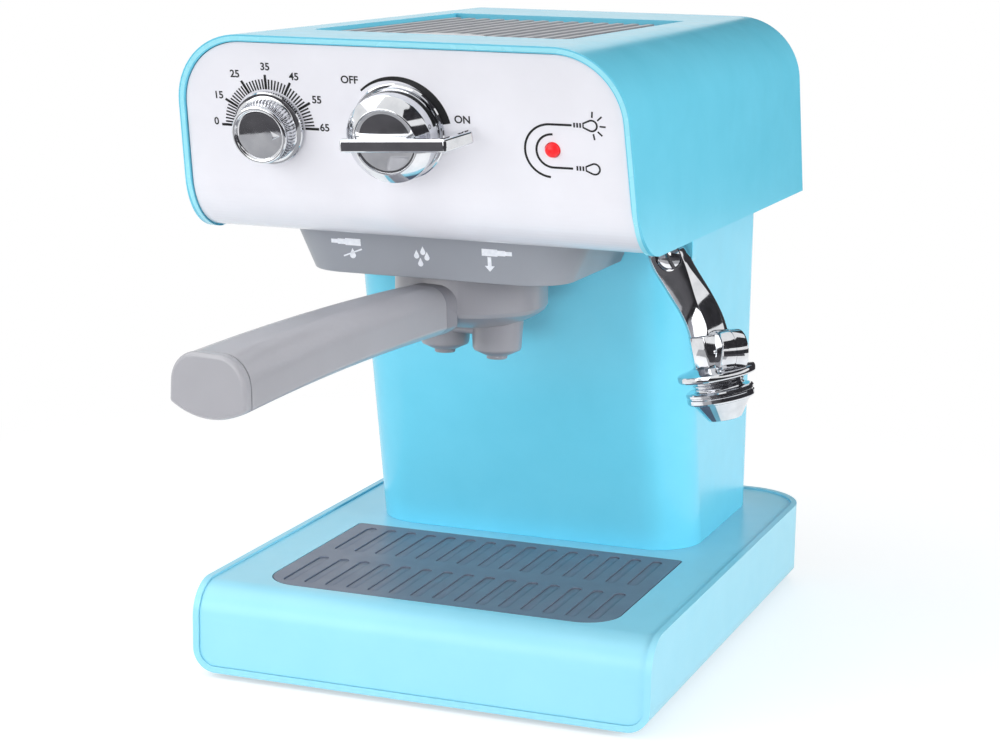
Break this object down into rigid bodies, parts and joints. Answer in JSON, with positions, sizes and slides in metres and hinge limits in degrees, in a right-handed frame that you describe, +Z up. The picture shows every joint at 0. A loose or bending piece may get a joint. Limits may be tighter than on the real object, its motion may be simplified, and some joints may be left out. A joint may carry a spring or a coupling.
{
  "type": "toy_coffee_maker",
  "caption": "Toy espresso machine in light blue: timer dial, lever switch, red lamp, portafilter with twin spouts, steam wand, water tank lid and drip tray.",
  "frame": {"origin": "on the table under the middle of the base, at the bottom of the middle foot", "axes": "+Z up, -Y the front with the controls, +X to the right seen from the front, where the steam wand is"},
  "size_m": [0.1938, 0.3365, 0.242],
  "materials": {
    "blue_shell": "smooth moulded ABS in light sky blue, soft gloss",
    "white_panel": "smooth moulded ABS in cool white with printed scales",
    "skirt_grey": "satin moulded ABS in mid grey",
    "handle_grey": "satin moulded ABS in light grey",
    "tray_grey": "satin moulded ABS in slate grey",
    "plated": "vacuum-plated ABS with a bright chrome look",
    "inner_plastic": "plain moulded plastic, unseen inside",
    "tank_clear": "clear moulded plastic",
    "rubber": "soft grey rubber or silicone",
    "steel": "zinc-plated steel",
    "cell_jacket": "plain printed cell jacket",
    "lamp_red": "translucent red lamp",
    "board": "small circuit board"
  },
  "bodies": {
    "housing": {"base_tub": "blue_shell", "base_deck": "blue_shell", "column_shell": "blue_shell", "back_cover": "blue_shell", "head_shell": "blue_shell", "front_panel": "white_panel", "group_skirt": "skirt_grey", "bayonet_plate": "skirt_grey", "head_floor": "skirt_grey", "wand_bracket": "skirt_grey", "switch_bezel": "plated", "battery_box": "inner_plastic", "battery_door": "inner_plastic", "timer_body": "inner_plastic", "switch_body": "inner_plastic", "pump_housing": "inner_plastic", "pump_cover": "inner_plastic", "inlet_elbow": "inner_plastic", "shower_disc": "inner_plastic", "water_tank": "tank_clear", "rubber_feet": "rubber", "group_gasket": "rubber", "suction_hose": "rubber", "feed_hose": "rubber", "base_screws": "steel", "door_screw": "steel", "cover_screws": "steel", "head_screws": "steel", "wand_screw": "steel", "battery_contacts": "steel", "pump_motor": "steel", "battery_cells": "cell_jacket", "led_lamp": "lamp_red", "led_board": "board"},
    "timer": {"timer_knob": "plated", "timer_spindle": "inner_plastic"},
    "switch": {"switch_knob": "plated", "switch_lever": "plated", "switch_spindle": "inner_plastic"},
    "portafilter": {"filter_body": "handle_grey", "spout_manifold": "handle_grey", "handle_bar": "handle_grey", "handle_cap": "handle_grey"},
    "steam_wand": {"wand_arm": "plated", "wand_nozzle": "plated", "wand_tip": "plated"},
    "lid": {"tank_lid": "tray_grey"},
    "tray": {"drip_tray": "tray_grey"},
    "impeller": {"pump_impeller": "inner_plastic"}
  },
  "joints": [
    {"name": "timer_turn", "type": "hinge", "parent": "housing", "child": "timer", "pos_m": [-0.0485, -0.13082, 0.21012], "axis": [0, -0.9744, -0.225], "range_deg": [0, 180]},
    {"name": "switch_turn", "type": "hinge", "parent": "housing", "child": "switch", "pos_m": [0, -0.13102, 0.211], "axis": [0, -0.9744, -0.225], "range_deg": [0, 130]},
    {"name": "portafilter_turn", "type": "hinge", "parent": "housing", "child": "portafilter", "pos_m": [0, -0.062, 0.15], "axis": [0, 0, 1], "range_deg": [-35, 42]},
    {"name": "wand_swing", "type": "hinge", "parent": "housing", "child": "steam_wand", "pos_m": [0.0705, -0.04, 0.1604], "axis": [0, -1, 0], "range_deg": [-24, 45]},
    {"name": "lid_hinge", "type": "hinge", "parent": "housing", "child": "lid", "pos_m": [0, 0.0376, 0.2376], "axis": [-1, 0, 0], "range_deg": [0, 88]},
    {"name": "tray_lift", "type": "slide", "parent": "housing", "child": "tray", "axis": [0, 0, 1], "range_m": [0, 0.03]},
    {"name": "impeller_spin", "type": "hinge", "parent": "housing", "child": "impeller", "pos_m": [0, 0.0365, 0.044], "axis": [0, 0, 1], "continuous": true}
  ]
}
